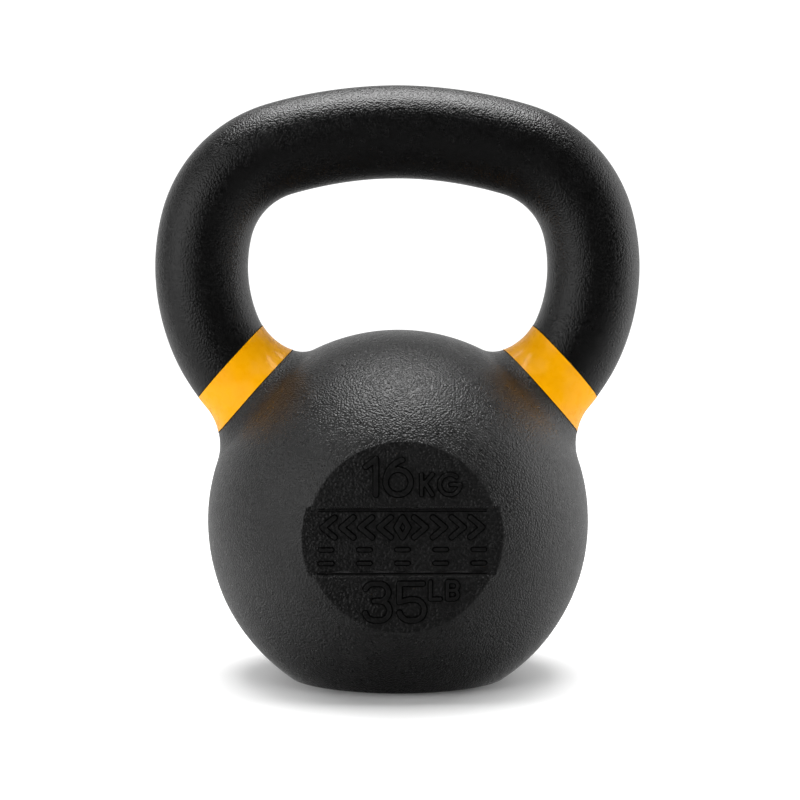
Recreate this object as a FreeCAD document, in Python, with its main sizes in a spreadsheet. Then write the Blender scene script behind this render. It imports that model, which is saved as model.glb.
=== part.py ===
"""A 16 kg cast iron kettlebell.

A flat-bottomed iron ball and a bent round handle are one solid casting.  It is stored as two
pieces, the bell and the handle, which meet under the two enamel color bands on the horns.
A flat round panel on the front carries raised weight marks.  The origin is the centre of the
base, +Z is up, the front faces -Y, and lengths are millimetres.
"""
import FreeCAD, Part
import math
import os
import Sketcher

Vector = FreeCAD.Vector

DIMENSIONS = (
    # the ball
    ("ball_diameter", 153.9),
    ("ball_center_height", 63.1),
    ("base_edge_round", 1.2),
    # the handle: a round bar bent through three tangent arcs on each side of its top
    ("grip_diameter", 37.3),
    ("grip_axis_height", 219.7),
    ("crown_radius", 165.9),
    ("crown_angle", 16.8),
    ("shoulder_radius", 42.8),
    ("shoulder_angle", 59.1),
    ("horn_radius", 69.7),
    ("horn_angle", 77.0),
    ("root_fillet", 18.7),
    # the front panel: a flat with a slightly deeper strip across its middle
    ("panel_distance", 68.1),
    ("strip_distance", 67.1),
    ("strip_top", 11.4),
    ("strip_bottom", -14.5),
    # the color bands, measured along the horn axis from the center of the ball
    ("horn_lean", 48.1),
    ("band_start", 77.5),
    ("band_width", 15.9),
    ("band_thickness", 0.3),
    # the raised marks: a row of figures and units above the strip and another below it
    ("mark_height", 0.8),
    ("figure_stroke", 2.2),
    ("unit_stroke", 1.7),
    ("figure_gap", 1.4),
    ("unit_gap", 0.95),
    ("kilogram_left", -14.8),
    ("kilogram_low", 15.0),
    ("kilogram_figure_height", 15.5),
    ("kilogram_unit_height", 9.3),
    ("kilogram_unit_left", 6.2),
    ("kilogram_unit_low", 15.2),
    ("pound_left", -15.2),
    ("pound_low", -32.0),
    ("pound_figure_height", 15.9),
    ("pound_unit_height", 8.2),
    ("pound_unit_left", 9.5),
    ("pound_unit_low", -23.8),
    # the plain pattern on the strip: a row of chevrons above a row of paired dashes
    ("pattern_half_width", 31.5),
    ("chevron_low", -1.0),
    ("chevron_height", 9.6),
    ("chevron_width", 4.4),
    ("chevrons_per_side", 4),
    ("dash_low", -10.5),
    ("dash_height", 6.8),
    ("dash_length", 6.0),
    ("dash_columns", 5),
    # the two ribs that run just inside the edges of the strip
    ("rib_inset", 0.9),
    ("rib_width", 0.8),
    ("rib_height", 0.5),
    ("rib_half_length", 31.5),
)


# --- the document and its sheet ------------------------------------------------------------

def new_sheet(doc):
    """Put every driving dimension in one spreadsheet, one alias per row."""
    sheet = doc.addObject("Spreadsheet::Sheet", "sizes")
    for row, (name, value) in enumerate(DIMENSIONS, start=1):
        sheet.set(f"A{row}", name)
        sheet.set(f"B{row}", str(value))
        sheet.setAlias(f"B{row}", name)
    doc.recompute()
    return sheet


def bind(obj, **formulas):
    """Bind properties or named constraints to formulas of sheet cells."""
    for prop, formula in formulas.items():
        obj.setExpression(prop.replace("__", "."), formula)


def bind_constraint(sketch, constraint, formula):
    """Add one dimensional constraint and bind it to a formula."""
    index = sketch.addConstraint(constraint)
    sketch.setExpression(f"Constraints[{index}]", formula)


def origin_part(body, role):
    """Return a plane or axis of the body's own origin by its role."""
    for feature in body.Origin.OriginFeatures:
        if feature.Role == role:
            return feature
    raise ValueError(f"no origin feature {role}")


def new_sketch(body, name, role):
    sketch = body.newObject("Sketcher::SketchObject", name)
    sketch.AttachmentSupport = [(origin_part(body, role), "")]
    sketch.MapMode = "FlatFace"
    return sketch


# --- the casting ---------------------------------------------------------------------------

def add_ball(body, sheet, inset):
    """Revolve the ball's outline, an arc closed by the base and the vertical axis."""
    radius = sheet.ball_diameter / 2
    middle = sheet.ball_center_height
    rim = math.sqrt(radius ** 2 - middle ** 2)
    sketch = new_sketch(body, body.Name + "_ball_outline", "YZ_Plane")
    circle = Part.Circle(Vector(0, middle, 0), Vector(0, 0, 1), radius)
    sketch.addGeometry(Part.ArcOfCircle(circle, -math.asin(middle / radius), math.pi / 2))
    sketch.addGeometry(Part.LineSegment(Vector(0, middle + radius, 0), Vector(0, 0, 0)))
    sketch.addGeometry(Part.LineSegment(Vector(0, 0, 0), Vector(rim, 0, 0)))
    sketch.addConstraint(Sketcher.Constraint("Coincident", 0, 2, 1, 1))
    sketch.addConstraint(Sketcher.Constraint("Coincident", 1, 2, -1, 1))
    sketch.addConstraint(Sketcher.Constraint("Coincident", 2, 1, -1, 1))
    sketch.addConstraint(Sketcher.Constraint("Coincident", 2, 2, 0, 1))
    sketch.addConstraint(Sketcher.Constraint("PointOnObject", 0, 3, -2))
    sketch.addConstraint(Sketcher.Constraint("PointOnObject", 0, 2, -2))
    sketch.addConstraint(Sketcher.Constraint("PointOnObject", 0, 1, -1))
    bind_constraint(sketch, Sketcher.Constraint("Radius", 0, radius),
                    f"sizes.ball_diameter / 2 - {inset}")
    bind_constraint(sketch, Sketcher.Constraint("DistanceY", -1, 1, 0, 3, middle),
                    "sizes.ball_center_height")
    ball = body.newObject("PartDesign::Revolution", body.Name + "_ball")
    ball.Profile = sketch
    ball.ReferenceAxis = (sketch, ["V_Axis"])
    ball.Angle = 360
    return ball


def path_arcs(sheet):
    """Return the three arcs of the right half of the handle's axis, from the top down.

    Each is (center, radius, start, end), with angles counter-clockwise from +X, as Part has it.
    """
    arcs = []
    point = Vector(0, sheet.grip_axis_height, 0)
    heading = math.pi / 2
    for name in ("crown", "shoulder", "horn"):
        radius = sheet.get(name + "_radius")
        turned = heading - math.radians(sheet.get(name + "_angle"))
        center = point - Vector(math.cos(heading), math.sin(heading), 0) * radius
        arcs.append((center, radius, turned, heading))
        point = center + Vector(math.cos(turned), math.sin(turned), 0) * radius
        heading = turned
    return arcs


def add_grip_path(body, sheet):
    """Sketch the right half of the handle's axis; its arcs meet tangentially."""
    sketch = new_sketch(body, body.Name + "_grip_path", "XZ_Plane")
    for center, radius, start, end in path_arcs(sheet):
        circle = Part.Circle(center, Vector(0, 0, 1), radius)
        sketch.addGeometry(Part.ArcOfCircle(circle, start, end))
    sketch.addConstraint(Sketcher.Constraint("PointOnObject", 0, 3, -2))
    sketch.addConstraint(Sketcher.Constraint("PointOnObject", 0, 2, -2))
    sketch.addConstraint(Sketcher.Constraint("Tangent", 0, 1, 1, 2))
    sketch.addConstraint(Sketcher.Constraint("Tangent", 1, 1, 2, 2))
    bind_constraint(sketch, Sketcher.Constraint("DistanceY", -1, 1, 0, 2, sheet.grip_axis_height),
                    "sizes.grip_axis_height")
    for index, name in enumerate(("crown", "shoulder", "horn")):
        radius = sheet.get(name + "_radius")
        angle = math.radians(sheet.get(name + "_angle"))
        bind_constraint(sketch, Sketcher.Constraint("Radius", index, radius),
                        f"sizes.{name}_radius")
        bind_constraint(sketch, Sketcher.Constraint("Angle", index, angle),
                        f"sizes.{name}_angle * 1 deg")
    return sketch


def add_handle(doc, body, sheet, inset):
    """Sweep the round section along the right half path, and mirror it to the left."""
    path = add_grip_path(body, sheet)
    section = new_sketch(body, body.Name + "_grip_section", "YZ_Plane")
    middle = Vector(0, sheet.grip_axis_height, 0)
    section.addGeometry(Part.Circle(middle, Vector(0, 0, 1), sheet.grip_diameter / 2))
    section.addConstraint(Sketcher.Constraint("PointOnObject", 0, 3, -2))
    bind_constraint(section, Sketcher.Constraint("DistanceY", -1, 1, 0, 3, middle.y),
                    "sizes.grip_axis_height")
    bind_constraint(section, Sketcher.Constraint("Radius", 0, sheet.grip_diameter / 2),
                    f"sizes.grip_diameter / 2 - {inset}")
    doc.recompute()
    half = body.newObject("PartDesign::AdditivePipe", body.Name + "_half_handle")
    half.Profile = section
    half.Spine = path
    doc.recompute()
    mirror = body.newObject("PartDesign::Mirrored", body.Name + "_both_halves")
    mirror.Originals = [half]
    mirror.MirrorPlane = (origin_part(body, "YZ_Plane"), [""])
    body.Tip = mirror
    doc.recompute()
    return mirror


def surface_names(shape, edge):
    faces = shape.ancestorsOfType(edge, Part.Face)
    return {face.Surface.TypeId for face in faces}


def add_fillet(doc, body, name, base, chosen, radius_formula):
    """Round the edges of the base feature that the test picks."""
    edges = enumerate(base.Shape.Edges, start=1)
    names = [f"Edge{number}" for number, edge in edges if chosen(edge)]
    fillet = body.newObject("PartDesign::Fillet", name)
    fillet.Base = (base, names)
    bind(fillet, Radius=radius_formula)
    doc.recompute()
    return fillet


def add_root_fillets(doc, body, base, inset):
    """Blend the handle into the ball where the bar meets the sphere."""
    wanted = {"Part::GeomSphere", "Part::GeomToroid"}

    def is_root(edge):
        return surface_names(base.Shape, edge) == wanted

    return add_fillet(doc, body, body.Name + "_root_fillets", base, is_root,
                      f"sizes.root_fillet + {inset}")


def add_base_round(doc, body, base):
    """Soften the rim of the flat base."""
    def is_rim(edge):
        return edge.BoundBox.ZMax < 0.001

    return add_fillet(doc, body, body.Name + "_base_round", base, is_rim, "sizes.base_edge_round")


def cut_front(doc, body, sheet, name, distance_name, bottom, top):
    """Mill away the ball in front of a plane, between two heights from its center."""
    half_width = sheet.ball_diameter / 2
    sketch = new_sketch(body, name + "_outline", "XZ_Plane")
    bind(sketch, AttachmentOffset__Base__z=f"sizes.{distance_name}")
    low = sheet.ball_center_height + bottom[1]
    high = sheet.ball_center_height + top[1]
    corners = [Vector(-half_width, low, 0), Vector(half_width, low, 0),
               Vector(half_width, high, 0), Vector(-half_width, high, 0)]
    for index in range(4):
        sketch.addGeometry(Part.LineSegment(corners[index], corners[(index + 1) % 4]))
    for index in range(4):
        sketch.addConstraint(Sketcher.Constraint("Coincident", index, 2, (index + 1) % 4, 1))
    for index, direction in enumerate(("Vertical", "Horizontal", "Vertical"), start=1):
        sketch.addConstraint(Sketcher.Constraint(direction, index))
    sketch.addConstraint(Sketcher.Constraint("Symmetric", 0, 1, 0, 2, -2))
    bind_constraint(sketch, Sketcher.Constraint("DistanceX", 0, 1, 0, 2, 2 * half_width),
                    "sizes.ball_diameter")
    bind_constraint(sketch, Sketcher.Constraint("DistanceY", -1, 1, 0, 1, low),
                    f"sizes.ball_center_height + {bottom[0]}")
    bind_constraint(sketch, Sketcher.Constraint("DistanceY", -1, 1, 2, 1, high),
                    f"sizes.ball_center_height + {top[0]}")
    before = body.Tip.Shape.Volume
    pocket = body.newObject("PartDesign::Pocket", name)
    pocket.Profile = sketch
    pocket.Reversed = True
    bind(pocket, Length="sizes.ball_diameter / 2")
    doc.recompute()
    if not 0 < before - pocket.Shape.Volume < before / 20:
        raise ValueError(f"{name} cut the wrong amount")
    return pocket


def make_casting(doc, sheet, name, inset="0"):
    """Build the ball and handle as one rounded body, its surfaces moved in by the inset."""
    body = doc.addObject("PartDesign::Body", name)
    add_ball(body, sheet, inset)
    doc.recompute()
    handle = add_handle(doc, body, sheet, inset)
    return body, add_root_fillets(doc, body, handle, inset)


def finish_casting(doc, sheet, body, rounded):
    """Round the base's rim and cut the front panel."""
    add_base_round(doc, body, rounded)
    reach = sheet.ball_diameter / 4
    cut_front(doc, body, sheet, "panel_flat", "panel_distance",
              ("-sizes.ball_diameter / 4", -reach), ("sizes.ball_diameter / 4", reach))
    cut_front(doc, body, sheet, "panel_strip", "strip_distance",
              ("sizes.strip_bottom", sheet.strip_bottom), ("sizes.strip_top", sheet.strip_top))


# --- the bands and the split between bell and handle -----------------------------------------

def horn_disc(doc, name, side, start_formula, height_formula):
    """Make a disc square to one horn's axis; side is 1 for the right horn and -1 for the left."""
    disc = doc.addObject("Part::Cylinder", name)
    disc.Placement.Rotation = FreeCAD.Rotation(Vector(0, 1, 0), doc.sizes.horn_lean)
    lean = "sizes.horn_lean * 1 deg"
    bind(disc, Radius="sizes.grip_diameter * 0.95", Height=height_formula,
         Placement__Rotation__Angle=f"{side} * {lean}",
         Placement__Base__x=f"{side} * ({start_formula}) * sin({lean})",
         Placement__Base__z=f"sizes.ball_center_height + ({start_formula}) * cos({lean})")
    return disc


def boolean(doc, kind, name, base, tool):
    result = doc.addObject("Part::" + kind, name)
    result.Base = base
    result.Tool = tool
    return result


def make_band(doc, casting, seat_form, side, name):
    """Take the outer skin of one horn between two planes square to its axis."""
    disc = horn_disc(doc, name + "_zone", side, "sizes.band_start", "sizes.band_width")
    zone = boolean(doc, "Common", name + "_blank", casting, disc)
    return boolean(doc, "Cut", name, zone, seat_form)


def make_upper_zone(doc):
    """Cover everything beyond the middle plane of either band."""
    middle = "sizes.band_start + sizes.band_width / 2"
    right = horn_disc(doc, "right_upper_zone", 1, middle, "sizes.grip_axis_height")
    left = horn_disc(doc, "left_upper_zone", -1, middle, "sizes.grip_axis_height")
    for disc in (right, left):
        bind(disc, Radius="sizes.grip_axis_height * 1.5")
    return boolean(doc, "Fuse", "upper_zone", right, left)


# --- the raised marks ------------------------------------------------------------------------

class Pen:
    """Draws round-ended strokes on a flat, as solids of one width and height.

    Points are measured from the pen's corner, and the middle of a stroke runs through them.
    """

    def __init__(self, width, height, left=0.0, low=0.0):
        self.reach = width / 2
        self.height = height
        self.left = left + self.reach
        self.low = low + self.reach
        self.solids = []

    def dot(self, x, y):
        place = Vector(self.left + x, self.low + y, 0)
        self.solids.append(Part.makeCylinder(self.reach, self.height, place))

    def line(self, *points):
        for (x0, y0), (x1, y1) in zip(points, points[1:]):
            length = math.hypot(x1 - x0, y1 - y0)
            bar = Part.makeBox(length, 2 * self.reach, self.height, Vector(0, -self.reach, 0))
            turn = FreeCAD.Rotation(Vector(0, 0, 1), math.degrees(math.atan2(y1 - y0, x1 - x0)))
            bar.Placement = FreeCAD.Placement(Vector(self.left + x0, self.low + y0, 0), turn)
            self.solids.append(bar)
            self.dot(x0, y0)
            self.dot(x1, y1)

    def arc(self, x, y, radius, start, end):
        """Draw part of a circle, in degrees counter-clockwise from +X."""
        up = Vector(0, 0, 1)
        outside = Part.makeCylinder(radius + self.reach, self.height, Vector(), up, end - start)
        inside = Part.makeCylinder(radius - self.reach, self.height)
        ring = outside.cut(inside)
        turn = FreeCAD.Rotation(up, start)
        ring.Placement = FreeCAD.Placement(Vector(self.left + x, self.low + y, 0), turn)
        self.solids.append(ring)
        if end - start < 360:
            for angle in (math.radians(start), math.radians(end)):
                self.dot(x + radius * math.cos(angle), y + radius * math.sin(angle))

    def character(self):
        """Join the strokes into one solid."""
        joined = self.solids[0]
        if len(self.solids) > 1:
            joined = joined.multiFuse(self.solids[1:]).removeSplitter()
        return joined.Solids[0]


def draw_one(pen, wide, high):
    pen.line((0, high - 0.75 * wide), (wide, high), (wide, 0))


def draw_six(pen, wide, high):
    bowl = wide / 2
    sweep = high - bowl
    pen.arc(bowl, bowl, bowl, 0, 360)
    pen.arc(sweep, bowl, sweep, 106, 180)


def draw_hook(pen, wide, radius):
    """Draw the open bowl that the figures 3 and 5 stand on, from its top round to its left tip."""
    pen.arc(wide - radius, radius, radius, -90, 90)
    pen.line((wide - radius, 0), (radius, 0))
    pen.arc(radius, radius, radius, -165, -90)


def draw_three(pen, wide, high):
    lower = 0.265 * high
    upper = high / 2 - lower
    draw_hook(pen, wide, lower)
    pen.line((wide - lower, 2 * lower), (0.38 * wide, 2 * lower))
    right = 0.95 * wide - upper
    pen.arc(right, high - upper, upper, -90, 90)
    pen.line((right, high), (upper, high))
    pen.arc(upper, high - upper, upper, 90, 155)


def draw_five(pen, wide, high):
    bowl = 0.285 * high
    draw_hook(pen, wide, bowl)
    pen.line((wide - bowl, 2 * bowl), (0.4 * wide, 2 * bowl), (0, 1.75 * bowl),
             (0.02 * wide, high), (0.94 * wide, high))


def draw_k(pen, wide, high):
    pen.line((0, 0), (0, high))
    pen.line((wide, high), (0, 0.4 * high))
    pen.line((0.3 * wide, 0.58 * high), (wide, 0))


def draw_g(pen, wide, high):
    radius = high / 2
    pen.arc(radius, radius, radius, 50, 360)
    pen.line((2 * radius, radius), (1.1 * radius, radius))


def draw_l(pen, wide, high):
    pen.line((0, high), (0, 0), (wide, 0))


def draw_b(pen, wide, high):
    bowl = high / 4
    pen.line((0, 0), (0, high))
    for middle in (bowl, 3 * bowl):
        pen.arc(wide - bowl, middle, bowl, -90, 90)
    for level in (0, 2 * bowl, high):
        pen.line((0, level), (wide - bowl, level))


# each character: how to draw it, and its width as a share of its height
FIGURES = {"1": (draw_one, 0.385), "6": (draw_six, 0.745),
           "3": (draw_three, 0.717), "5": (draw_five, 0.726)}
UNITS = {"K": (draw_k, 0.62), "G": (draw_g, 0.90), "L": (draw_l, 0.66), "B": (draw_b, 0.68)}


def write_word(word, alphabet, stroke, gap, height, place, rise):
    """Draw one word's characters from left to right, and return their solids."""
    left, low = place
    solids = []
    for name in word:
        draw, share = alphabet[name]
        pen = Pen(stroke, rise, left, low)
        draw(pen, share * height - stroke, height - stroke)
        solids.append(pen.character())
        left += share * height + gap
    return solids


def write_row(sheet, row, figures, units):
    """Lay out one row of figures and smaller units, and return its solids."""
    left, low, unit_left, unit_low, figure_height, unit_height = (
        sheet.get(row + ending) for ending in
        ("_left", "_low", "_unit_left", "_unit_low", "_figure_height", "_unit_height"))
    rise = sheet.mark_height
    return [*write_word(figures, FIGURES, sheet.figure_stroke, sheet.figure_gap, figure_height,
                        (left, low), rise),
            *write_word(units, UNITS, sheet.unit_stroke, sheet.unit_gap, unit_height,
                        (unit_left, unit_low), rise)]


def pattern_solids(sheet):
    """Draw the strip's plain ornament: chevrons pointing outward, and paired dashes below."""
    solids = []
    stroke = sheet.figure_stroke
    high = sheet.chevron_height - stroke
    count = int(sheet.chevrons_per_side)
    pitch = sheet.pattern_half_width / (count + 0.5)
    for index in range(1, count + 1):
        for side in (-1, 1):
            tip = side * (0.25 * pitch + index * pitch)
            back = tip - side * sheet.chevron_width
            pen = Pen(stroke, sheet.mark_height, -stroke / 2, sheet.chevron_low)
            pen.line((back, 0), (tip, high / 2), (back, high))
            solids.append(pen.character())
    pen = Pen(stroke, sheet.mark_height, -stroke / 2, sheet.chevron_low)
    reach = sheet.chevron_width / 2
    pen.line((0, 0), (reach, high / 2), (0, high), (-reach, high / 2), (0, 0))
    solids.append(pen.character())
    columns = int(sheet.dash_columns)
    span = 2 * sheet.pattern_half_width - sheet.dash_length
    for column in range(columns):
        middle = -span / 2 + column * span / (columns - 1)
        for level in (0, sheet.dash_height - sheet.unit_stroke):
            pen = Pen(sheet.unit_stroke, sheet.mark_height, 0, sheet.dash_low)
            reach = sheet.dash_length / 2
            pen.line((middle - reach, level), (middle + reach - sheet.unit_stroke, level))
            solids.append(pen.character())
    return solids


def rib_solids(sheet):
    """Draw the two straight ribs just inside the strip's edges."""
    solids = []
    for low in (sheet.strip_top - sheet.rib_inset - sheet.rib_width,
                sheet.strip_bottom + sheet.rib_inset):
        pen = Pen(sheet.rib_width, sheet.rib_height, -sheet.rib_half_length, low)
        pen.line((0, 0), (2 * sheet.rib_half_length - sheet.rib_width, 0))
        solids.append(pen.character())
    return solids


def add_marks(doc, sheet, name, solids, distance):
    """Stand flat-drawn solids on a front-facing flat at this distance from the axis."""
    mark = doc.addObject("Part::Feature", name)
    mark.Shape = Part.makeCompound(solids)
    upright = FreeCAD.Rotation(Vector(1, 0, 0), 90)
    mark.Placement = FreeCAD.Placement(Vector(0, -distance, sheet.ball_center_height), upright)
    return mark


# --- the whole kettlebell ----------------------------------------------------------------------

def build(doc):
    sheet = new_sheet(doc)
    casting, rounded = make_casting(doc, sheet, "casting")
    finish_casting(doc, sheet, casting, rounded)
    seat_form, _ = make_casting(doc, sheet, "seat_form", "sizes.band_thickness")
    bands = [make_band(doc, casting, seat_form, -1, "left_color_band"),
             make_band(doc, casting, seat_form, 1, "right_color_band")]
    both_bands = boolean(doc, "Fuse", "both_bands", *bands)
    seated = boolean(doc, "Cut", "casting_with_seats", casting, both_bands)
    upper_zone = make_upper_zone(doc)
    bell = boolean(doc, "Cut", "bell", seated, upper_zone)
    handle = boolean(doc, "Common", "handle", seated, upper_zone)
    flat = sheet.panel_distance
    strip = sheet.strip_distance
    marks = [add_marks(doc, sheet, "kilogram_mark", write_row(sheet, "kilogram", "16", "KG"), flat),
             add_marks(doc, sheet, "pound_mark", write_row(sheet, "pound", "35", "LB"), flat),
             add_marks(doc, sheet, "panel_ribs", rib_solids(sheet), strip),
             add_marks(doc, sheet, "panel_pattern", pattern_solids(sheet), strip)]
    doc.recompute()
    return [bell, handle, *bands, *marks]


def check(doc, nodes):
    """Stop if anything in the document failed or a sub-part is not a valid set of solids."""
    for obj in doc.Objects:
        if "Invalid" in obj.State or "Error" in obj.State:
            raise ValueError(f"{obj.Name} failed: {obj.State}")
    for node in nodes:
        shape = node.Shape
        if shape.isNull() or not shape.isValid() or not shape.Solids:
            raise ValueError(f"{node.Label} has no valid solid")
        print(f"{node.Label}: {len(shape.Solids)} solids, {shape.Volume:.1f} mm3")


def main():
    doc = FreeCAD.newDocument("kettlebell")
    nodes = build(doc)
    check(doc, nodes)
    os.makedirs("parts", exist_ok=True)
    for node in nodes:
        node.Shape.exportStep(f"parts/{node.Label}.step")


main()
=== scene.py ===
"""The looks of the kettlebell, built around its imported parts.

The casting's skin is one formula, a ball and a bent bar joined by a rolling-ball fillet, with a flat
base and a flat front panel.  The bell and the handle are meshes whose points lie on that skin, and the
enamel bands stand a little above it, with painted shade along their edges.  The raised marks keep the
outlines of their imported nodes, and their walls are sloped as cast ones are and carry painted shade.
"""
import math

import bmesh
import bpy
import numpy as np
from mathutils import Matrix, Vector
from mathutils.bvhtree import BVHTree
from mathutils.geometry import delaunay_2d_cdt


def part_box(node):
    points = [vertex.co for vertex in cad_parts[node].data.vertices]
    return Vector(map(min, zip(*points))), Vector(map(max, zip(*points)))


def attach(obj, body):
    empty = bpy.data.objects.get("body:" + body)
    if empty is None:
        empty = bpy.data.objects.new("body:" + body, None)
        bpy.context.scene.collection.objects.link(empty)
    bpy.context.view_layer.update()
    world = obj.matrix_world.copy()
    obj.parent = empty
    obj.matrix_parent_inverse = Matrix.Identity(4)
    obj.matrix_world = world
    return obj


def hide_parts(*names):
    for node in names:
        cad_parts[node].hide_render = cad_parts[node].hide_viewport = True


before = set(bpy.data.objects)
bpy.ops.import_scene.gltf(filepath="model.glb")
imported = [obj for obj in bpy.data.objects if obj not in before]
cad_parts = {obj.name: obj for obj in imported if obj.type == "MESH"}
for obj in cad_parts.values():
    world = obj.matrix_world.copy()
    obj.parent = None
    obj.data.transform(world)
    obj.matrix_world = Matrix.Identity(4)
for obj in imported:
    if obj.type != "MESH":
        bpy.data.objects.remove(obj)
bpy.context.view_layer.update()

MM = 0.001

# --- sizes, in metres ----------------------------------------------------------------------------

bell_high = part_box("bell")[1]
handle_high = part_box("handle")[1]
mark_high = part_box("kilogram_mark")[1]
ribs_low, ribs_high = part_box("panel_ribs")

BALL_RADIUS = bell_high.y
BALL_CENTER = np.array((0.0, 0.0, 63.1 * MM))
GRIP_RADIUS = handle_high.y
GRIP_AXIS_HEIGHT = handle_high.z - GRIP_RADIUS
# The radius of each bend of the handle's right half, and its turn in degrees, from the top down.
HANDLE_BENDS = ((165.9 * MM, 16.8), (42.8 * MM, 59.1), (69.7 * MM, 77.0))
ROOT_FILLET = 18.7 * MM
BASE_ROUND = 1.2 * MM

PANEL_DEPTH = -mark_high.y
STRIP_DEPTH = -ribs_high.y
RIB_INSET = 0.9 * MM
STRIP_TOP = ribs_high.z + RIB_INSET
STRIP_BOTTOM = ribs_low.z - RIB_INSET
STRIP_STEP_WIDTH = 0.5 * MM
PANEL_ROUND = 0.6 * MM

HORN_LEAN = math.radians(48.1)
# Along a horn's axis, from the ball's center.
BAND_START = 77.5 * MM
BAND_WIDTH = 15.9 * MM
SPLIT = BAND_START + BAND_WIDTH / 2
BAND_PROUD = 0.12 * MM
BAND_BURIED = 0.25 * MM
BAND_EDGE_ROUND = 0.35 * MM
BAND_EDGE_WOBBLE = 0.10 * MM

# --- how finely the meshes are divided -----------------------------------------------------------

POINT_SPACING = 0.9 * MM
HANDLE_RING_SPACING = 1.3 * MM
HORN_POINTS = 168
HANDLE_POINTS = 116
BAND_POINTS = 192
BALL_RIM_POINTS = 400
BALL_SUBDIVISIONS = 7
ROOT_ANGLE = math.radians(31)


# --- the skin of the casting ---------------------------------------------------------------------

def handle_arcs():
    """The arcs of the right half of the handle's axis, as (center, radius, low angle, high angle)."""
    arcs = []
    point = np.array((0.0, GRIP_AXIS_HEIGHT))
    heading = math.pi / 2
    for radius, bend in HANDLE_BENDS:
        turned = heading - math.radians(bend)
        center = point - radius * np.array((math.cos(heading), math.sin(heading)))
        arcs.append((center, radius, turned, heading))
        point = center + radius * np.array((math.cos(turned), math.sin(turned)))
        heading = turned
    return arcs


ARCS = handle_arcs()


def nearest_on_axis(points):
    """The point of the handle's bent axis that is nearest to each point."""
    side = np.where(points[:, 0] < 0, -1.0, 1.0)
    flat = np.stack((np.abs(points[:, 0]), points[:, 2]), axis=1)
    best_gap = np.full(len(points), np.inf)
    best = np.zeros((len(points), 3))
    for center, radius, low, high in ARCS:
        away = flat - center
        middle = (low + high) / 2
        angle = np.arctan2(away[:, 1], away[:, 0]) - middle
        angle = np.clip((angle + math.pi) % (2 * math.pi) - math.pi, low - middle, high - middle)
        found = center + radius * np.stack((np.cos(angle + middle), np.sin(angle + middle)), axis=1)
        gap = np.linalg.norm(flat - found, axis=1)
        closer = gap < best_gap
        best_gap = np.where(closer, gap, best_gap)
        best[closer, 0] = (side * found[:, 0])[closer]
        best[closer, 2] = found[closer, 1]
    return best


def rolled_union(first, second, cosine, radius):
    """Join two solids, given by their distances, with the fillet that a ball would roll out.

    The cosine is that of the angle between the two surfaces' normals.
    """
    to_first = radius - first
    to_second = radius - second
    sine_squared = np.maximum(1 - cosine ** 2, 0.05)
    squared = to_first ** 2 + to_second ** 2 - 2 * cosine * to_first * to_second
    between = (to_first > cosine * to_second) & (to_second > cosine * to_first)
    rolled = radius - np.sqrt(np.maximum(squared, 0) / sine_squared)
    return np.where(between, rolled, np.minimum(first, second))


def rounded_cut(solid, plane, cosine, radius):
    """Cut a solid back to a plane and round the edge that this leaves."""
    return -rolled_union(-solid, -plane, cosine, radius)


def make_waves(seed, count, shortest, longest):
    """Wave numbers and phases of the slow unevenness of a sand casting."""
    random = np.random.default_rng(seed)
    directions = random.normal(size=(count, 3))
    directions /= np.linalg.norm(directions, axis=1)[:, None]
    lengths = random.uniform(shortest, longest, count)
    return directions * (2 * math.pi / lengths)[:, None], random.uniform(0, 2 * math.pi, count)


CAST_WAVES = make_waves(seed=16, count=14, shortest=22 * MM, longest=60 * MM)
CAST_WAVE_HEIGHT = 0.07 * MM
PANEL_WAVE_SHARE = 0.5


def cast_waves(points):
    """How far the casting's surface stands out at each point: a sum of sine waves."""
    numbers, phases = CAST_WAVES
    return CAST_WAVE_HEIGHT * np.sin(points @ numbers.T + phases).sum(axis=1) / math.sqrt(len(phases))


def smooth_step(value):
    value = np.clip(value, 0, 1)
    return value * value * (3 - 2 * value)


def panel_depth(height):
    """How far in front of the ball's center the panel lies: less in the strip across its middle."""
    rise = smooth_step((height - STRIP_BOTTOM) / STRIP_STEP_WIDTH + 0.5)
    fall = smooth_step((STRIP_TOP - height) / STRIP_STEP_WIDTH + 0.5)
    return PANEL_DEPTH - (PANEL_DEPTH - STRIP_DEPTH) * rise * fall


def panel_gap(points):
    """How far each point is in front of the panel."""
    return -points[:, 1] - panel_depth(points[:, 2]) - PANEL_WAVE_SHARE * cast_waves(points)


def skin(points):
    """The distance of each point from the casting's surface, negative inside."""
    from_center = points - BALL_CENTER
    reach = np.maximum(np.linalg.norm(from_center, axis=1), 1e-9)
    outward = from_center / reach[:, None]
    from_axis = points - nearest_on_axis(points)
    gap = np.maximum(np.linalg.norm(from_axis, axis=1), 1e-9)
    cosine = (outward * from_axis).sum(axis=1) / gap
    body = rolled_union(reach - BALL_RADIUS, gap - GRIP_RADIUS, cosine, ROOT_FILLET)
    body = body - cast_waves(points)
    body = rounded_cut(body, -points[:, 2], -outward[:, 2], BASE_ROUND)
    return rounded_cut(body, panel_gap(points), -outward[:, 1], PANEL_ROUND)


HALVINGS = 30


def walk_out(origins, directions, near, far, height=0.0):
    """Go along each ray, from near to far, to the point that is the given height above the skin."""
    low = np.full(len(origins), near)
    high = np.full(len(origins), far)
    for _ in range(HALVINGS):
        middle = (low + high) / 2
        outside = skin(origins + directions * middle[:, None]) > height
        high = np.where(outside, middle, high)
        low = np.where(outside, low, middle)
    return origins + directions * low[:, None]


def skin_normals(points):
    """The direction in which the skin's distance grows fastest."""
    step = 0.04 * MM
    slopes = []
    for axis in np.eye(3) * step:
        slopes.append(skin(points + axis) - skin(points - axis))
    slopes = np.stack(slopes, axis=1)
    return slopes / np.linalg.norm(slopes, axis=1)[:, None]


# --- meshes --------------------------------------------------------------------------------------

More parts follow.
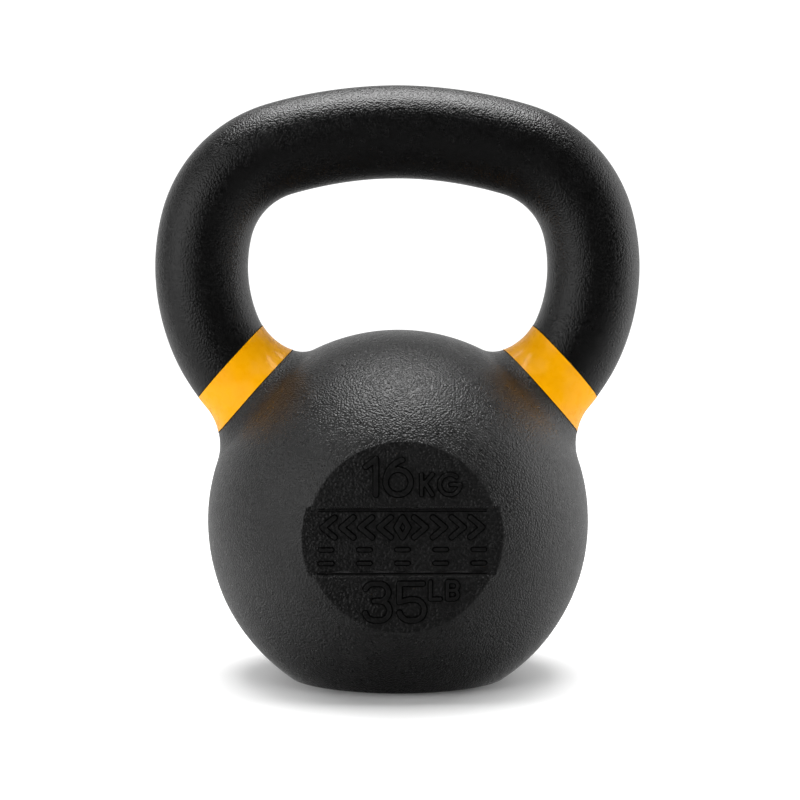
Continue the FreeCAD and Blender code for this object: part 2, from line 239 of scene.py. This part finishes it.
def add_mesh(name, points, faces, normals=None):
    mesh = bpy.data.meshes.new(name)
    mesh.from_pydata(np.asarray(points).tolist(), [], [tuple(face) for face in faces])
    mesh.validate()
    mesh.shade_smooth()
    if normals is not None:
        mesh.normals_split_custom_set_from_vertices(np.asarray(normals).tolist())
    piece = bpy.data.objects.new(name, mesh)
    bpy.context.scene.collection.objects.link(piece)
    return piece


def horn_frame(side):
    """The unit vector along a horn's axis and two square to it; side is 1 for the right horn."""
    along = np.array((side * math.sin(HORN_LEAN), 0.0, math.cos(HORN_LEAN)))
    across = np.array((math.cos(HORN_LEAN), 0.0, -side * math.sin(HORN_LEAN)))
    return along, across, np.array((0.0, 1.0, 0.0))


def horn_ring(side, distance, count, height=0.0):
    """Points of the skin around a horn; the distance from the ball's center may differ by point."""
    along, across, depth = horn_frame(side)
    angles = np.arange(count) * 2 * math.pi / count
    directions = np.outer(np.cos(angles), across) + np.outer(np.sin(angles), depth)
    origins = BALL_CENTER + np.outer(np.broadcast_to(distance, count), along)
    return walk_out(origins, directions, near=5 * MM, far=50 * MM, height=height)


def horn_distances(low, high):
    """Distances along a horn, from high to low, whose rings are evenly spaced down its flared back."""
    trial = np.linspace(high, low, 60)
    down_the_back = [horn_ring(1, distance, 4)[1] for distance in trial]
    lengths = np.linalg.norm(np.diff(down_the_back, axis=0), axis=1)
    run = np.concatenate(([0], np.cumsum(lengths)))
    steps = int(run[-1] / POINT_SPACING)
    return np.interp(np.linspace(0, run[-1], steps + 1), run, trial)


def cone_directions(pole, angles, count):
    """Unit vectors at the given angles from a pole, count of them around each circle."""
    pole = np.asarray(pole)
    first = np.cross(pole, (1.0, 0.0, 0.0))
    first /= np.linalg.norm(first)
    second = np.cross(pole, first)
    around = np.arange(count) * 2 * math.pi / count
    circle = np.outer(np.cos(around), first) + np.outer(np.sin(around), second)
    rings = [math.cos(angle) * pole + math.sin(angle) * circle for angle in angles]
    return np.concatenate(rings)


def sphere_directions(levels):
    """The corners of a finely divided icosahedron, one of them exactly at the back."""
    ball = bmesh.new()
    bmesh.ops.create_icosphere(ball, subdivisions=levels, radius=1)
    corners = np.array([corner.co[:] for corner in ball.verts])
    ball.free()
    corners /= np.linalg.norm(corners, axis=1)[:, None]
    first = Vector(corners[0])
    turn = np.array(first.rotation_difference(Vector((0, 1, 0))).to_matrix())
    return corners @ turn.T


def join_directions(directions):
    """Triangles of the Delaunay net over unit vectors; the last vector is the one at the back.

    Seen from the back pole, circles of the sphere are circles of the plane, so the plane's net is the
    sphere's, and the plane's outer edge is the ring of triangles around the pole.
    """
    spread = 1 / (1 - directions[:-1, 1])
    flat = [Vector((x, z)) for x, z in zip(directions[:-1, 0] * spread, directions[:-1, 2] * spread)]
    faces = delaunay_2d_cdt(flat, [], [], 0, 1e-9)[2]
    uses = {}
    for face in faces:
        for start, end in zip(face, face[1:] + face[:1]):
            uses[frozenset((start, end))] = uses.get(frozenset((start, end)), 0) + 1
    pole = len(directions) - 1
    closing = [(*edge, pole) for edge, count in uses.items() if count == 1]
    return np.array([*faces, *closing])


def face_outward(points, faces, center):
    """Turn each triangle so that its normal points away from the center."""
    corners = points[faces]
    normals = np.cross(corners[:, 1] - corners[:, 0], corners[:, 2] - corners[:, 0])
    inward = ((corners.mean(axis=1) - center) * normals).sum(axis=1) < 0
    faces[inward] = faces[inward][:, ::-1]
    return faces


def off_cone(directions, pole, angle):
    """Which of the directions are further than the angle from the pole."""
    return directions @ np.asarray(pole) < math.cos(angle)


PANEL_POLE = (0.0, -1.0, 0.0)
BASE_POLE = (0.0, 0.0, -1.0)


def panel_points(reach):
    """A grid over the panel within a reach of its middle, with close rows at the strip's edges."""
    offsets = np.arange(-3, 4) * STRIP_STEP_WIDTH / 4
    close = np.concatenate((STRIP_TOP + offsets, STRIP_BOTTOM + offsets))
    rows = np.arange(-reach, reach, POINT_SPACING) + BALL_CENTER[2]
    far = np.abs(rows[:, None] - close[None, :]).min(axis=1) > POINT_SPACING / 3
    rows = np.concatenate((rows[far], close))
    columns = np.arange(-reach, reach, POINT_SPACING)
    across, up = (grid.ravel() for grid in np.meshgrid(columns, rows))
    kept = np.hypot(across, up - BALL_CENTER[2]) < reach
    across, up = across[kept], up[kept]
    return np.stack((across, -panel_depth(up), up), axis=1)


def root_points():
    """Rings round both horns, from the ball up to the split, and a few more that close its face."""
    distances = horn_distances(BALL_RADIUS * math.cos(ROOT_ANGLE), SPLIT)
    rings = []
    for side in (1, -1):
        for distance in distances:
            rings.append(horn_ring(side, distance, HORN_POINTS))
        rim = horn_ring(side, SPLIT, HORN_POINTS)
        middle = rim.mean(axis=0)
        rings += [middle + (rim[::8] - middle) * share for share in (0.8, 0.5, 0.2)]
    return np.concatenate(rings)


def ball_directions():
    """Directions from the ball's center to its points, close together at the panel's and base's rims.

    The last of them is the one at the back.
    """
    panel_rim = math.acos(PANEL_DEPTH / BALL_RADIUS)
    strip_rim = math.acos(STRIP_DEPTH / BALL_RADIUS)
    base_rim = math.acos(BALL_CENTER[2] / BALL_RADIUS)
    margin = math.radians(1.6)
    rim_step = math.radians(0.3)
    spacing = POINT_SPACING / BALL_RADIUS

    panel_angles = np.arange(panel_rim - margin, strip_rim + margin, rim_step)
    base_angles = np.arange(base_rim - margin, base_rim + margin, rim_step)
    inner_panel = panel_points(BALL_RADIUS * math.sin(panel_rim - margin) - POINT_SPACING / 2)
    inner_panel = inner_panel - BALL_CENTER
    inner_panel /= np.linalg.norm(inner_panel, axis=1)[:, None]
    groups = [
        inner_panel,
        cone_directions(PANEL_POLE, panel_angles, BALL_RIM_POINTS),
        cone_directions(BASE_POLE, base_angles, BALL_RIM_POINTS),
    ]
    for angle in np.arange(spacing * 2, base_angles[0] - spacing, spacing * 2):
        groups.append(cone_directions(BASE_POLE, [angle], int(math.sin(angle) * math.pi / spacing) + 4))
    ball = sphere_directions(BALL_SUBDIVISIONS)
    ball = ball[off_cone(ball, PANEL_POLE, panel_angles[-1] + spacing / 2)]
    ball = ball[off_cone(ball, BASE_POLE, base_angles[-1] + spacing / 2)]
    for side in (1, -1):
        ball = ball[off_cone(ball, horn_frame(side)[0], ROOT_ANGLE + spacing * 0.7)]
    back = ball[:, 1].argmax()
    groups += [np.delete(ball, back, axis=0), ball[back:back + 1]]
    return np.concatenate(groups)


def make_bell():
    """The bell up to the split planes, and the mask of its faces that are panel."""
    cast = ball_directions()
    centers = np.broadcast_to(BALL_CENTER, cast.shape)
    cast_points = walk_out(centers, cast, near=30 * MM, far=120 * MM)
    points = np.concatenate((root_points(), cast_points))
    directions = points - BALL_CENTER
    directions /= np.linalg.norm(directions, axis=1)[:, None]
    directions[-1] = (0, 1, 0)
    faces = face_outward(points, join_directions(directions), BALL_CENTER)
    bell = add_mesh("bell_casting", points, faces, skin_normals(points))
    middles = points[faces].mean(axis=1)
    flat = (np.abs(panel_gap(middles)) < 0.03 * MM) & (middles[:, 1] < 0)
    return bell, flat


def handle_sections():
    """Places and tangents along the right half of the handle's axis, from its top to the split."""
    along = horn_frame(1)[0]
    sections = []
    for index, (center, radius, low, high) in enumerate(ARCS):
        count = max(int(radius * (high - low) / HANDLE_RING_SPACING), 2)
        for angle in np.linspace(high, low, count + 1)[(index > 0):]:
            place = center + radius * np.array((math.cos(angle), math.sin(angle)))
            place = np.array((place[0], 0, place[1]))
            tangent = np.array((-math.sin(angle), 0, math.cos(angle)))
            sections.append((place, tangent))
    beyond = [(place - BALL_CENTER) @ along - SPLIT for place, _ in sections]
    last = next(index for index, gap in enumerate(beyond) if gap < 0)
    share = beyond[last - 1] / (beyond[last - 1] - beyond[last])
    end = sections[last - 1][0] * (1 - share) + sections[last][0] * share
    return sections[:last - 1] + [(end, along)]


def make_handle():
    """Sweep rings along the handle's axis, which turn square to the horn as they near the split."""
    along = horn_frame(1)[0]
    settle = 14 * MM
    angles = np.arange(HANDLE_POINTS) * 2 * math.pi / HANDLE_POINTS
    half = []
    for place, tangent in handle_sections():
        weight = smooth_step(1 - ((place - BALL_CENTER) @ along - SPLIT) / settle)
        square = tangent * (1 - weight) + along * weight
        square /= np.linalg.norm(square)
        across = np.array((square[2], 0, -square[0]))
        directions = np.outer(np.cos(angles), across) + np.outer(np.sin(angles), (0, 1, 0))
        origins = np.broadcast_to(place, directions.shape)
        half.append(walk_out(origins, directions, near=5 * MM, far=50 * MM))
    mirrored = [ring * (-1, 1, 1) for ring in half[:0:-1]]
    points, faces = join_rings(mirrored + half, closed=False)
    return add_mesh("handle_casting", points, faces)


def join_rings(rings, closed):
    """Quads between neighbouring rings; an open tube gets a cap at each end."""
    count = len(rings[0])
    points = np.concatenate(rings)
    faces = []
    total = len(rings)
    for row in range(total if closed else total - 1):
        here = row * count
        there = (row + 1) % total * count
        for spot in range(count):
            after = (spot + 1) % count
            faces.append((here + spot, here + after, there + after, there + spot))
    if not closed:
        first, last = len(points), len(points) + 1
        points = np.concatenate((points, [rings[0].mean(axis=0), rings[-1].mean(axis=0)]))
        end = (total - 1) * count
        for spot in range(count):
            after = (spot + 1) % count
            faces.append((first, after, spot))
            faces.append((last, end + spot, end + after))
    return points, faces


def edge_wobble(random, angles):
    """How far one edge of a band wanders along the horn at each angle round it."""
    wobble = np.zeros(len(angles))
    for turns in range(2, 9):
        wobble += random.normal() / turns * np.cos(turns * angles + random.uniform(0, 2 * math.pi))
    return BAND_EDGE_WOBBLE * wobble


def make_band(side, name):
    """A thin coat of enamel around one horn, and the mask of its edge faces, which take painted shade.
    """
    angles = np.arange(BAND_POINTS) * 2 * math.pi / BAND_POINTS
    random = np.random.default_rng(35 + side)
    start_wobble = edge_wobble(random, angles)
    end_wobble = edge_wobble(random, angles)
    rounded = []
    for turn in np.linspace(0, math.pi / 2, 5)[:-1]:
        rounded.append((BAND_EDGE_ROUND * (1 - math.cos(turn)), BAND_PROUD * math.sin(turn)))
    body = np.linspace(BAND_EDGE_ROUND, BAND_WIDTH - BAND_EDGE_ROUND, 18)
    outline = [(0.0, -BAND_BURIED)] + rounded + [(place, BAND_PROUD) for place in body]
    outline += [(BAND_WIDTH - place, rise) for place, rise in reversed(rounded)]
    outline += [(place, -BAND_BURIED) for place in np.linspace(BAND_WIDTH, 0, 10)[:-1]]
    rings = []
    for place, height in outline:
        share = place / BAND_WIDTH
        distance = BAND_START + place + start_wobble * (1 - share) + end_wobble * share
        rings.append(horn_ring(side, distance, BAND_POINTS, height))
    points, faces = join_rings(rings, closed=True)
    rows = np.repeat(np.arange(len(rings)), BAND_POINTS)
    second_rim = len(rounded) + len(body)
    # The band's rounded edges, from their buried foot up, take the near-black coat: a painted shade line
    # along each edge.
    rim = (rows <= len(rounded)) | ((rows >= second_rim) & (rows <= second_rim + len(rounded)))
    return add_mesh(name, points, faces), rim


# --- the raised marks ----------------------------------------------------------------------------

RELIEF_GRID = 0.13 * MM
# A mark's walls start this far outside its outline, sunk a little in the panel, and end this far inside.
RELIEF_FOOT = 0.26 * MM
RELIEF_SUNK = 0.04 * MM
RELIEF_SHOULDER = 0.28 * MM
RELIEF_BACK = 0.45 * MM


def outline_trees(node):
    """Search trees over a mark's front faces and over its side walls."""
    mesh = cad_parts[node].data
    points = [corner.co.copy() for corner in mesh.vertices]
    fronts, walls = [], []
    for face in mesh.polygons:
        if face.normal.y < -0.9:
            fronts.append(tuple(face.vertices))
        elif abs(face.normal.y) < 0.5:
            walls.append(tuple(face.vertices))
    return BVHTree.FromPolygons(points, fronts), BVHTree.FromPolygons(points, walls)


def panel_surface(across, up):
    """The skin's points on the panel, straight behind the given places."""
    origins = np.stack((across, np.zeros_like(across), up), axis=1)
    ahead = np.broadcast_to((0.0, -1.0, 0.0), origins.shape)
    return walk_out(origins, ahead, near=50 * MM, far=80 * MM)


def outline_distances(node, rows, columns, reach):
    """How far inside a mark's outline each place of a grid is, up to the reach; negative outside."""
    low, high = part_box(node)
    middle = (low.y + high.y) / 2
    fronts, walls = outline_trees(node)
    inside = np.zeros((len(rows), len(columns)))
    for row, up in enumerate(rows):
        for column, across in enumerate(columns):
            place = Vector((across, middle, up))
            gap = walls.find_nearest(place, reach)[3]
            covered = fronts.ray_cast(place, Vector((0, -1, 0)))[0] is not None
            if gap is None:
                gap = reach
            inside[row, column] = gap if covered else -gap
    return inside


def grid_faces(numbers):
    """Quads between the points of a grid, whose numbers are -1 where there is no point."""
    faces = []
    for row in range(len(numbers) - 1):
        for column in range(len(numbers[0]) - 1):
            corners = (numbers[row, column], numbers[row, column + 1],
                       numbers[row + 1, column + 1], numbers[row + 1, column])
            if min(corners) >= 0:
                faces.append(corners)
    return faces


def make_relief(node, name, painted_shade_below_only):
    """A mark raised on the panel, with the outline of its node and sloped walls.

    Its mask marks the faces that take painted shade: all the walls, or, for marks shaded only below,
    just the walls on their lower side, as under light from above.
    """
    low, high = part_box(node)
    height = high.y - low.y
    edge = RELIEF_FOOT + 2 * RELIEF_GRID
    columns = np.arange(low.x - edge, high.x + edge, RELIEF_GRID)
    rows = np.arange(low.z - edge, high.z + edge, RELIEF_GRID)
    inside = outline_distances(node, rows, columns, edge)
    kept = inside > -RELIEF_FOOT - RELIEF_GRID / 2
    numbers = np.where(kept, np.cumsum(kept).reshape(kept.shape) - 1, -1)
    up, across = (grid[kept] for grid in np.meshgrid(rows, columns, indexing="ij"))
    inside = inside[kept]
    wall = np.clip((inside + RELIEF_FOOT) / (RELIEF_FOOT + RELIEF_SHOULDER), 0, 1)
    rise = (wall + smooth_step(wall)) / 2
    base = panel_surface(across, up)
    lift = (height + RELIEF_SUNK) * rise - RELIEF_SUNK
    front = base + np.stack((0 * lift, -lift, 0 * lift), axis=1)
    back = base + (0, RELIEF_BACK, 0)
    faces = grid_faces(numbers)
    # Painted shade: the mark's walls, out to its shoulder, take the near-black coat.
    painted_shade_faces = [inside[list(face)].mean() < RELIEF_SHOULDER for face in faces]
    # Under light from above only a rib's lower walls would lie in shade, so only they get the painted
    # shade.
    if painted_shade_below_only:
        painted_shade_faces = [dark and inside[face[0]] < inside[face[3]] for dark, face in zip(painted_shade_faces, faces)]
    closing = closing_faces(faces, len(front))
    relief = add_mesh(name, np.concatenate((front, back)), faces + closing)
    return relief, painted_shade_faces + [False] * len(closing)


def closing_faces(faces, shift):
    """The back of a sheet, a shift further on in the list of points, and the walls at its rim."""
    back = [tuple(corner + shift for corner in reversed(face)) for face in faces]
    directed = set()
    for face in faces:
        directed.update(zip(face, face[1:] + face[:1]))
    walls = [(end, start, start + shift, end + shift) for start, end in directed
             if (end, start) not in directed]
    return back + walls


# --- materials -----------------------------------------------------------------------------------

class NodeTree:
    """A node tree, and short ways to add to it."""

    def __init__(self, tree):
        self.tree = tree

    def node(self, kind, links=None, **values):
        made = self.tree.nodes.new("ShaderNode" + kind)
        for name, value in values.items():
            setattr(made, name, value)
        for socket, source in (links or {}).items():
            self.link(source, made.inputs[socket])
        return made

    def link(self, source, target):
        """Feed a socket from another socket, or set it to a plain value."""
        if isinstance(source, bpy.types.NodeSocket):
            self.tree.links.new(source, target)
        else:
            target.default_value = source

    def math(self, operation, *sources):
        return self.node("Math", dict(enumerate(sources)), operation=operation).outputs[0]

    def remap(self, source, from_low, from_high, to_low, to_high):
        links = {"Value": source, "From Min": from_low, "From Max": from_high,
                 "To Min": to_low, "To Max": to_high}
        return self.node("MapRange", links).outputs["Result"]

    def curve(self, source, *stops):
        """Straight lines between (source, value) stops, for a source from -1 to 1."""
        halved = self.math("MULTIPLY_ADD", source, 0.5, 0.5)
        made = self.node("FloatCurve", {"Value": halved})
        points = made.mapping.curves[0].points
        while len(points) < len(stops):
            points.new(0.5, 0.5)
        for point, (position, value) in zip(points, stops):
            point.location = ((position + 1) / 2, value)
            point.handle_type = "VECTOR"
        made.mapping.update()
        return made.outputs["Value"]


class Shader(NodeTree):
    """One Principled material and the nodes that feed it."""

    def __init__(self, name, **values):
        self.material = bpy.data.materials.new(name)
        self.material.use_nodes = True
        super().__init__(self.material.node_tree)
        self.principled = self.tree.nodes["Principled BSDF"]
        for socket, value in values.items():
            self.principled.inputs[socket.replace("_", " ")].default_value = value
        self.place = self.node("TexCoord").outputs["Object"]

    def noise(self, size, detail=2.0, roughness=0.5):
        """Soft patches of the given size, in metres, from 0 to 1."""
        links = {"Vector": self.place, "Scale": 1 / size, "Detail": detail, "Roughness": roughness}
        return self.node("TexNoise", links).outputs["Fac"]

    def pebbles(self, size, softness):
        """Rounded lumps of the given size, 1 at their tops."""
        links = {"Vector": self.place, "Scale": 1 / size, "Smoothness": softness}
        cells = self.node("TexVoronoi", links, feature="SMOOTH_F1")
        return self.remap(cells.outputs["Distance"], 0.0, 0.8, 1.0, 0.0)

    def bump(self, layers):
        """Bump from (height source, height in metres) pairs."""
        total = None
        for source, height in layers:
            scaled = self.math("MULTIPLY", source, height)
            total = scaled if total is None else self.math("ADD", total, scaled)
        links = {"Height": total, "Distance": 1.0, "Strength": 1.0}
        self.link(self.node("Bump", links).outputs["Normal"], self.principled.inputs["Normal"])

    def color_between(self, source, dark, light):
        """Base color from dark, where the source is 0, to light, where it is 1."""
        mix = self.node("Mix", {0: source}, data_type="RGBA")
        self.link((*dark, 1), mix.inputs["A"])
        self.link((*light, 1), mix.inputs["B"])
        self.link(mix.outputs["Result"], self.principled.inputs["Base Color"])


def powder_coat(name, shade, roughness, pebble, pebble_height, fine_height, gloss=0.5):
    """Matte black powder coat over cast iron, with the pebbled surface that it cures to."""
    coat = Shader(name, Specular_IOR_Level=gloss)
    lumps = coat.pebbles(pebble, softness=0.25)
    # The colour is darker in the hollows between the pebbles, which is painted shade, and also darker in
    # random slow patches of tone.
    tone_and_hollow_shade = coat.math("MULTIPLY", coat.noise(9 * MM, detail=3.0), lumps)
    coat.color_between(tone_and_hollow_shade, dark=(shade * 0.5,) * 3, light=(shade * 1.8,) * 3)
    rough = coat.remap(coat.noise(3.2 * MM, detail=3.0), 0.3, 0.7, roughness - 0.05, roughness + 0.05)
    coat.link(rough, coat.principled.inputs["Roughness"])
    coat.bump([
        (lumps, pebble_height),
        (coat.noise(pebble * 0.7, detail=2.0), fine_height),
        (coat.noise(6 * MM, detail=1.0), 0.03 * MM),
    ])
    return coat.material


def enamel(name):
    """Glossy orange-yellow enamel, brushed on over the coat's texture."""
    paint = Shader(name, Specular_IOR_Level=0.14, Coat_Weight=0.12, Coat_Roughness=0.10)
    thin = paint.noise(5 * MM, detail=3.0)
    paint.color_between(thin, dark=(0.90, 0.36, 0.0), light=(1.0, 0.46, 0.0))
    rough = paint.remap(paint.noise(2.5 * MM), 0.3, 0.7, 0.24, 0.34)
    paint.link(rough, paint.principled.inputs["Roughness"])
    paint.bump([
        (paint.noise(2.2 * MM, detail=1.0), 0.035 * MM),
        (paint.noise(7 * MM, detail=1.0), 0.08 * MM),
    ])
    return paint.material


# --- the studio ----------------------------------------------------------------------------------

CAMERA_AZIMUTH = math.radians(-1.49)
CAMERA_ELEVATION = math.radians(2.45)
CAMERA_DISTANCE = 0.813
CAMERA_RISE = 48.4 * MM
CAMERA_SLIDE = 0.8 * MM
CAMERA_LENS = 90


def add_camera():
    """Look at the bell slightly from above, with the middle of the view near the top of the ball."""
    flat = Vector((-math.sin(CAMERA_AZIMUTH), math.cos(CAMERA_AZIMUTH), 0))
    ahead = flat * math.cos(CAMERA_ELEVATION) - Vector((0, 0, math.sin(CAMERA_ELEVATION)))
    right = ahead.cross(Vector((0, 0, 1))).normalized()
    up = right.cross(ahead)
    data = bpy.data.cameras.new("camera")
    data.lens = CAMERA_LENS
    camera = bpy.data.objects.new("camera", data)
    place = Vector(BALL_CENTER) - ahead * CAMERA_DISTANCE + up * CAMERA_RISE + right * CAMERA_SLIDE
    turn = Matrix((right, up, -ahead)).transposed().to_4x4()
    camera.matrix_world = Matrix.Translation(place) @ turn
    bpy.context.scene.collection.objects.link(camera)
    bpy.context.scene.camera = camera


def add_softbox(name, place, aim, width, height, radiance):
    """A rectangular softbox whose face has the given radiance."""
    data = bpy.data.lights.new(name, "AREA")
    data.shape = "RECTANGLE"
    data.size = width
    data.size_y = height
    data.energy = math.pi * width * height * radiance
    lamp = bpy.data.objects.new(name, data)
    lamp.location = place
    lamp.rotation_euler = (Vector(aim) - Vector(place)).to_track_quat("-Z", "Y").to_euler()
    bpy.context.scene.collection.objects.link(lamp)
    return lamp


def plain_material(name, color, glow):
    return Shader(name, Base_Color=(*color, 1), Roughness=0.9, Specular_IOR_Level=0.0,
                  Emission_Color=(1, 1, 1, 1), Emission_Strength=glow)


FLOOR_SIZE = 8.0
BACKDROP_RADIUS = 3.9


def add_floor():
    """A white sheet with painted light: it glows more away from the object until it melts into the
    backdrop.
    """
    floor = plain_material("white_sheet", (0.82, 0.82, 0.82), 0.0)
    narrowed = floor.node("VectorMath", {0: floor.place, 1: (1.0, 0.45, 1.0)}, operation="MULTIPLY")
    away = floor.node("VectorMath", {0: narrowed.outputs[0]}, operation="LENGTH").outputs["Value"]
    # The glow is painted light. Faint near the object, it leaves a painted shadow there, on top of the
    # lamps' contact shadow, reaching further to the front and back than to the sides; past it the glow
    # rises quickly at first, and then slowly.
    near_glow = floor.remap(away, 0.030, 0.075, 0.04, 0.50)
    far_glow = floor.remap(away, 0.10, 0.80, 0.0, 0.7)
    glow = floor.math("ADD", near_glow, far_glow)
    floor.link(glow, floor.principled.inputs["Emission Strength"])
    corners = FLOOR_SIZE / 2 * np.array([(-1, -1, 0), (1, -1, 0), (1, 1, 0), (-1, 1, 0)])
    sheet = add_mesh("floor", corners, [(0, 1, 2, 3)])
    sheet.data.materials.append(floor.material)
    sheet.visible_glossy = False


def add_backdrop():
    """White all around, which only the camera sees."""
    dome = bmesh.new()
    bmesh.ops.create_uvsphere(dome, u_segments=48, v_segments=24, radius=BACKDROP_RADIUS)
    mesh = bpy.data.meshes.new("backdrop")
    dome.to_mesh(mesh)
    dome.free()
    backdrop = bpy.data.objects.new("backdrop", mesh)
    bpy.context.scene.collection.objects.link(backdrop)
    mesh.materials.append(plain_material("white_backdrop", (0, 0, 0), 1.2).material)
    backdrop.visible_diffuse = False
    backdrop.visible_glossy = False
    backdrop.visible_shadow = False


def add_world():
    """Room light: bright behind the object and low down at its sides, dim in front of it."""
    world = bpy.data.worlds.new("studio")
    bpy.context.scene.world = world
    world.use_nodes = True
    room = NodeTree(world.node_tree)
    background = room.tree.nodes["Background"]
    direction = room.node("TexCoord").outputs["Generated"]
    x, y, z = room.node("SeparateXYZ", {0: direction}).outputs
    behind = room.curve(y, (-1, 0.02), (-0.2, 0.02), (0.7, 0.74), (1, 0.74))
    level = room.curve(z, (-1, 0.03), (-0.6, 0.03), (-0.2, 0.9), (0.3, 1), (0.8, 0.5), (1, 0.5))
    beside = room.curve(x, (-1, 0.7), (-0.8, 0.7), (-0.45, 0.06), (0.45, 0.06), (0.8, 0.6), (1, 0.6))
    low = room.curve(z, (-1, 0.4), (-0.85, 0.5), (-0.6, 1), (-0.35, 1), (-0.1, 0), (1, 0))
    glow = room.math("ADD", room.math("MULTIPLY", behind, level), room.math("MULTIPLY", beside, low))
    room.link((1, 1, 1, 1), background.inputs["Color"])
    room.link(glow, background.inputs["Strength"])


def add_studio():
    add_camera()
    add_floor()
    add_backdrop()
    add_world()
    add_softbox("overhead_softbox", place=(0, 0.15, 1.35), aim=(0, 0, 0.1),
                width=1.0, height=0.8, radiance=7.8)
    add_softbox("left_softbox", place=(-1.1, -0.7, 0.45), aim=(0, 0, 0.12),
                width=1.3, height=1.2, radiance=1.2)
    add_softbox("right_softbox", place=(1.2, 0.25, 0.45), aim=(0, 0, 0.12),
                width=1.3, height=1.2, radiance=0.9)
    fill = add_softbox("front_fill", place=(0, -0.8, 1.1), aim=(0, 0, 0.12),
                       width=0.6, height=0.6, radiance=4.0)
    fill.visible_glossy = False
    bpy.context.scene.view_settings.view_transform = "Standard"


# --- putting it together -------------------------------------------------------------------------

def dress(piece, node, slot_name, *materials, mask=None):
    """Give a piece its materials, the second on its masked faces, and have it stand for its node."""
    for material in materials:
        piece.data.materials.append(material)
    if mask is not None:
        piece.data.polygons.foreach_set("material_index", np.array(mask, dtype=np.int32))
    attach(piece, "root")
    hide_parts(node)


def build():
    bell_coat = powder_coat("bell_coat", shade=0.018, roughness=0.30,
                            pebble=0.8 * MM, pebble_height=0.20 * MM, fine_height=0.14 * MM)
    panel_coat = powder_coat("panel_coat", shade=0.006, roughness=0.40,
                             pebble=1.0 * MM, pebble_height=0.38 * MM, fine_height=0.32 * MM)
    mark_coat = powder_coat("mark_coat", shade=0.006, roughness=0.40,
                            pebble=1.0 * MM, pebble_height=0.20 * MM, fine_height=0.18 * MM)
    # Near black and barely glossy, this coat is painted shade: it goes on the marks' walls, under the
    # ribs and along the bands' edges.
    painted_shade_coat = powder_coat("painted_shade_coat", shade=0.002, roughness=0.70, gloss=0.06,
                              pebble=1.0 * MM, pebble_height=0.10 * MM, fine_height=0.10 * MM)
    handle_coat = powder_coat("handle_coat", shade=0.005, roughness=0.24,
                              pebble=0.75 * MM, pebble_height=0.15 * MM, fine_height=0.10 * MM)
    yellow = enamel("yellow_enamel")

    bell, panel = make_bell()
    dress(bell, "bell", "bell_powder_coat", bell_coat, panel_coat, mask=panel)
    handle = make_handle()
    dress(handle, "handle", "handle_powder_coat", handle_coat)
    for side, word in ((-1, "left"), (1, "right")):
        band, painted_shade_rims = make_band(side, f"{word}_band_enamel")
        dress(band, f"{word}_color_band", "yellow_enamel", yellow, painted_shade_coat, mask=painted_shade_rims)
    for node in ("kilogram_mark", "pound_mark", "panel_ribs", "panel_pattern"):
        mark, painted_shade_faces = make_relief(node, f"{node}_raised", painted_shade_below_only=node == "panel_ribs")
        dress(mark, node, "panel_powder_coat", mark_coat, painted_shade_coat, mask=painted_shade_faces)


add_studio()
build()
